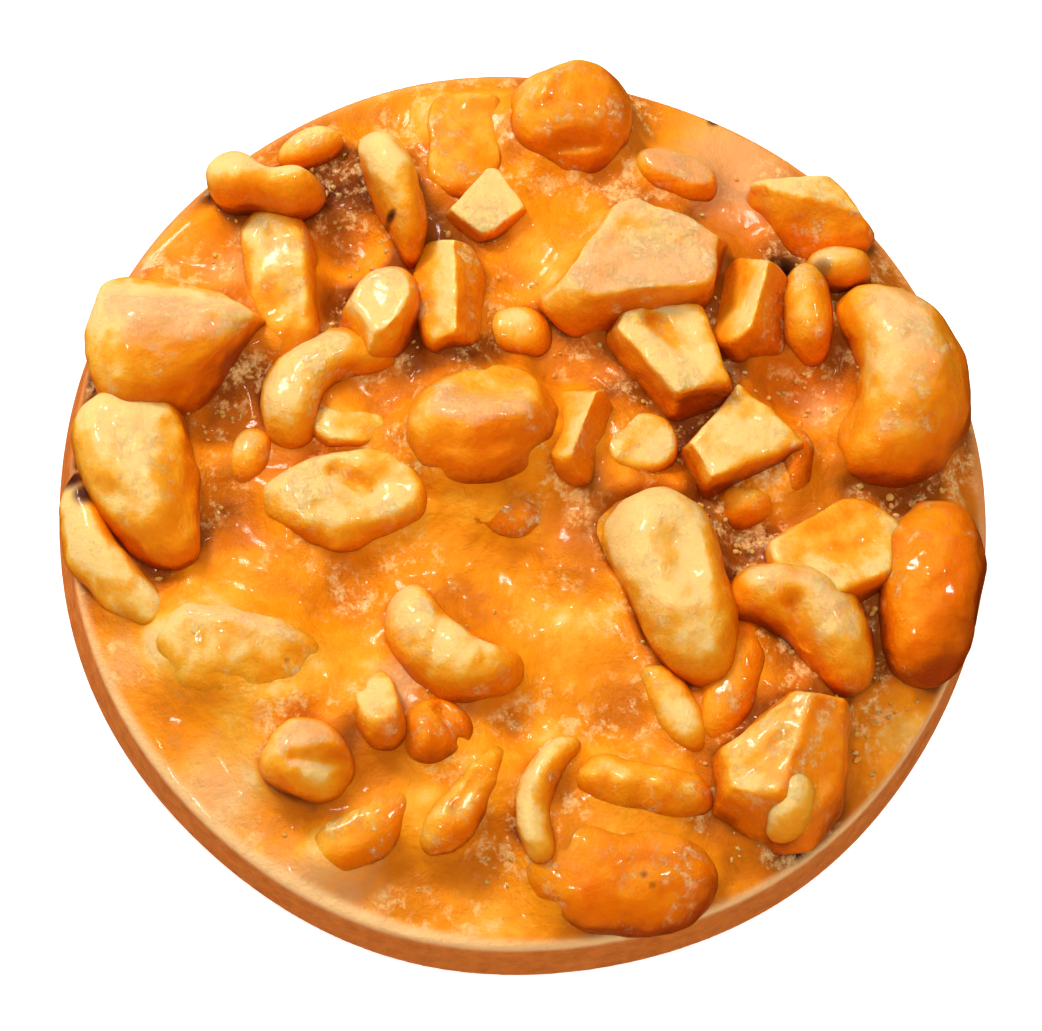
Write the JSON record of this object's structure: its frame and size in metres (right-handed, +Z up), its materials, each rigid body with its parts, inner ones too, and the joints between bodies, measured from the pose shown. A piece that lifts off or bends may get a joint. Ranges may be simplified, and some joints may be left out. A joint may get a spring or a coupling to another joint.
{
  "type": "cashew patty",
  "caption": "Round flat caramel disc with a straight low side, its top crowded with whole, split and chipped cashews in a buttery caramel glaze.",
  "frame": {"origin": "centre of the disc's flat underside", "axes": "+Z up out of the nuts, -Y towards the viewer"},
  "size_m": [0.09, 0.09, 0.018],
  "materials": {
    "caramel": "satin brown butter caramel with pale sugar bloom",
    "glazed_cashew": "cashew under a thin glossy caramel glaze",
    "bare_cashew": "pale cashew flesh with a thin glaze on its flanks"
  },
  "bodies": {
    "root": {"caramel_disc": "caramel", "whole_right": "glazed_cashew", "half_centre": "bare_cashew", "slab_upper": "bare_cashew", "chunk_lower": "bare_cashew", "dome_middle": "bare_cashew", "cone_left": "bare_cashew", "half_left": "bare_cashew", "dome_top": "glazed_cashew", "dome_bottom": "glazed_cashew", "nut_right": "glazed_cashew", "curl_tail": "glazed_cashew", "half_flat": "bare_cashew", "bow_front": "glazed_cashew", "upright_ridge": "bare_cashew", "knob_middle": "bare_cashew", "slender_upper": "glazed_cashew", "roof_right": "bare_cashew", "lobed_chip": "bare_cashew", "triangle_chip": "bare_cashew", "roof_middle": "bare_cashew", "crescent_upper": "glazed_cashew", "crescent_edge": "glazed_cashew", "chunk_corner": "bare_cashew", "chunk_side": "bare_cashew", "boomerang": "glazed_cashew", "kernel_lower_left": "glazed_cashew", "bow_body": "glazed_cashew", "nut_sunk": "glazed_cashew", "curl_limb": "glazed_cashew", "knob_lower": "glazed_cashew", "cap_nut": "bare_cashew", "tooth": "bare_cashew", "hook": "glazed_cashew", "strip": "glazed_cashew", "lumpy_bar": "glazed_cashew", "round_chip": "glazed_cashew", "chip_upper": "bare_cashew", "slab_rim": "bare_cashew", "sliver": "glazed_cashew", "chip_pale": "bare_cashew", "prop_right": "glazed_cashew", "lobe_right": "glazed_cashew", "chips_rim": "bare_cashew", "nub_rim": "glazed_cashew", "crescent_sunk": "glazed_cashew", "jagged_chip": "bare_cashew", "lump_centre": "glazed_cashew", "lump_left": "glazed_cashew", "lump_small": "glazed_cashew", "chip_middle": "glazed_cashew", "leaf": "glazed_cashew", "chip_side": "glazed_cashew"}
  },
  "joints": []
}
